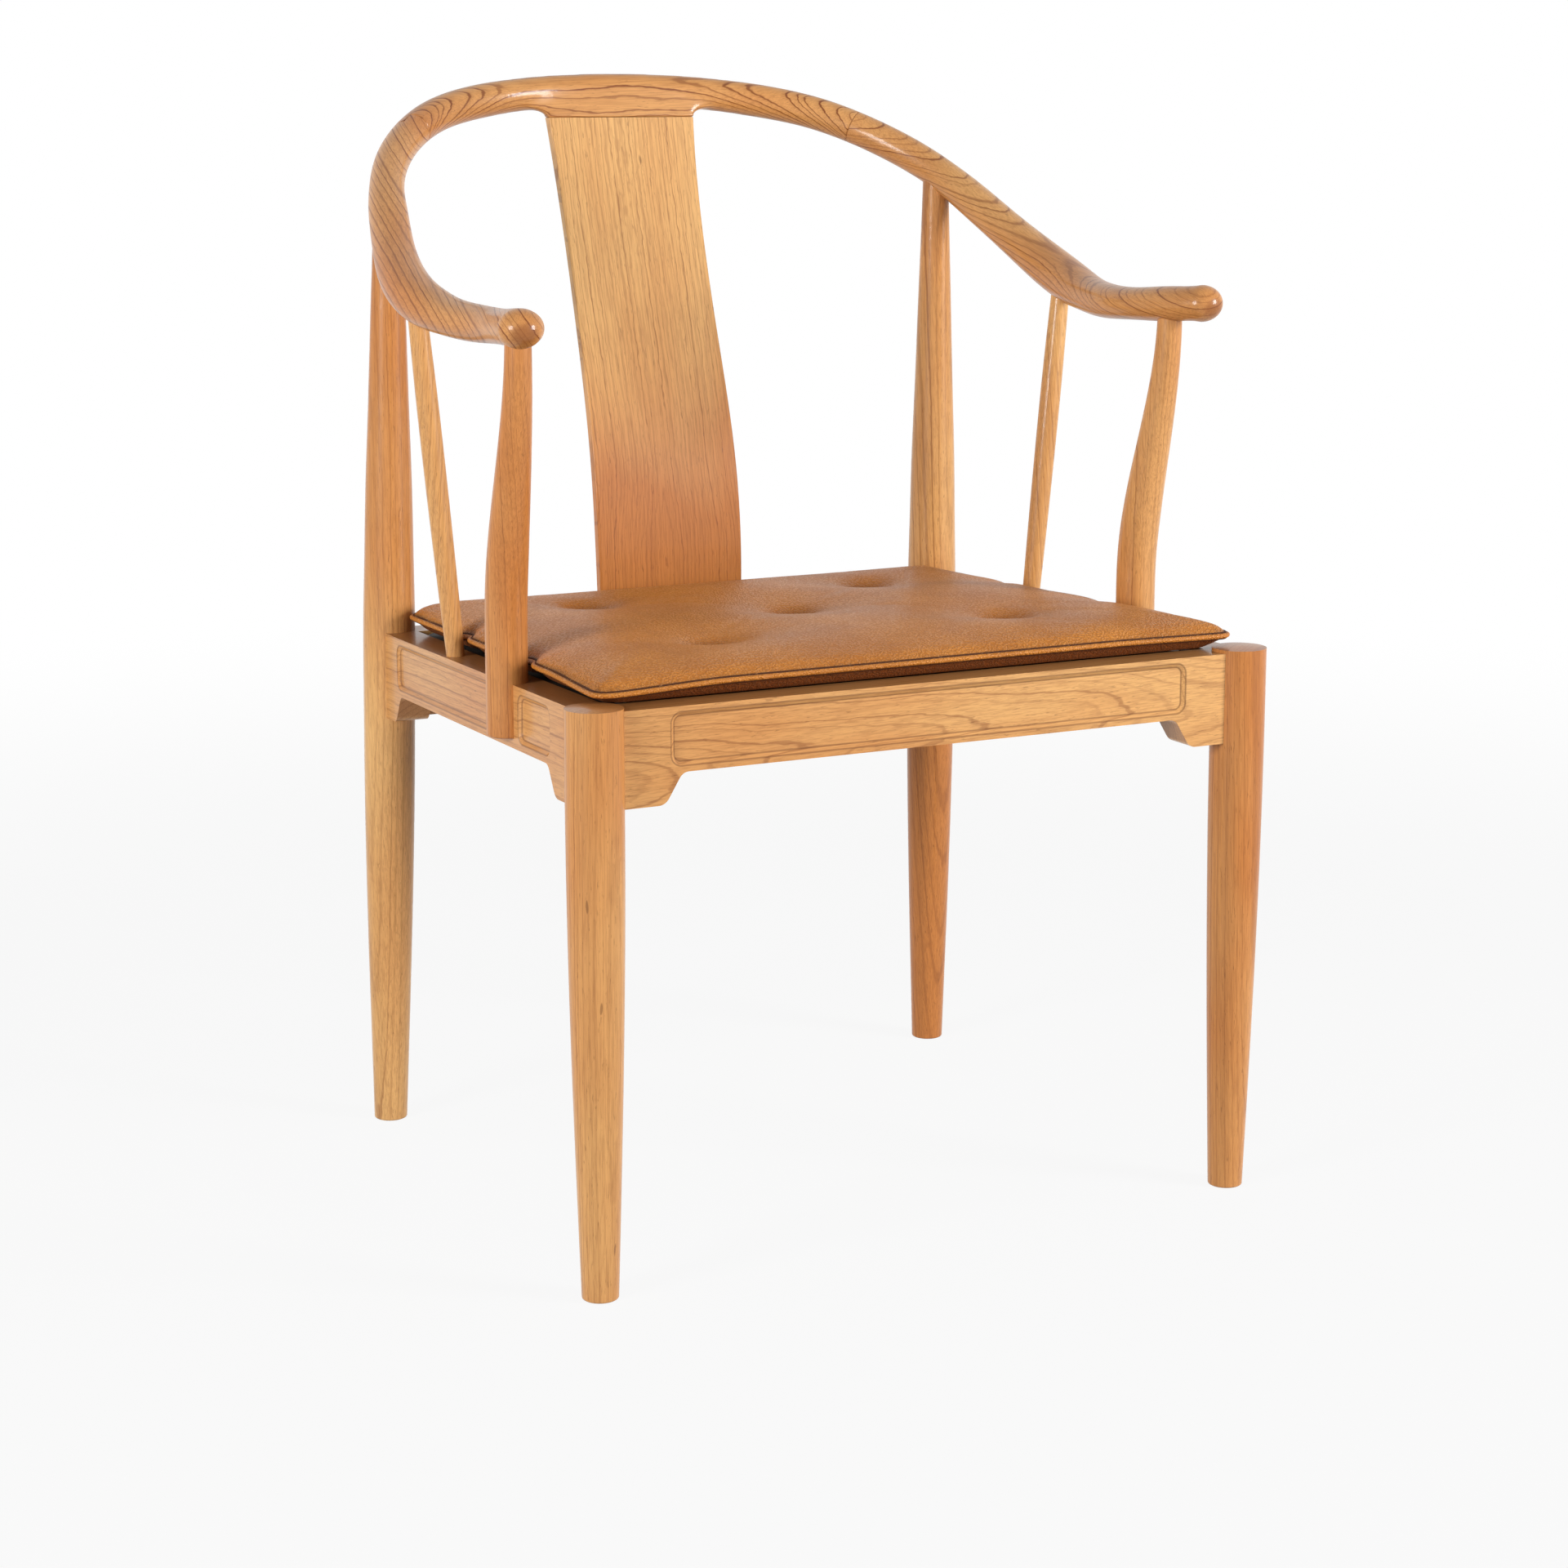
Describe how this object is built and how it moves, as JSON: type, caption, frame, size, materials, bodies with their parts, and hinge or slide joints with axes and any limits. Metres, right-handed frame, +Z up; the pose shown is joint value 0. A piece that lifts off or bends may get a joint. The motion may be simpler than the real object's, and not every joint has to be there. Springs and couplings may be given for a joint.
{
  "type": "horseshoe back armchair",
  "caption": "Armchair with a one-line horseshoe top rail and arms on round posts, a curved centre splat, turned legs, panelled seat rails and a loose tufted leather cushion.",
  "frame": {"origin": "on the floor, under the middle of the chair's bounding box", "axes": "+Z up, -Y to the chair's front, +X to the right of someone who faces the chair from the front"},
  "size_m": [0.5798, 0.5662, 0.8221],
  "materials": {
    "wood": "solid wood, honey-orange cherry look, satin clear finish",
    "board": "dark stained seat board, matt",
    "screw": "plain steel wood screws",
    "leather": "tan pebbled leather, soft sheen"
  },
  "bodies": {
    "frame": {"arm_left": "wood", "arm_post_left": "wood", "arm_post_right": "wood", "arm_right": "wood", "back_leg_left": "wood", "back_leg_right": "wood", "back_rail": "wood", "block_screws": "screw", "board_screws": "screw", "corner_block_back_left": "wood", "corner_block_back_right": "wood", "corner_block_front_left": "wood", "corner_block_front_right": "wood", "crest_rail": "wood", "front_leg_left": "wood", "front_leg_right": "wood", "front_rail": "wood", "seat_board": "board", "side_rail_left": "wood", "side_rail_right": "wood", "spindle_left": "wood", "spindle_right": "wood", "splat": "wood"},
    "cushion": {"seat_cushion": "leather"}
  },
  "joints": [
    {"name": "cushion_lift", "type": "slide", "parent": "frame", "child": "cushion", "axis": [0, 0, 1], "range_m": [0, 0.04]}
  ]
}
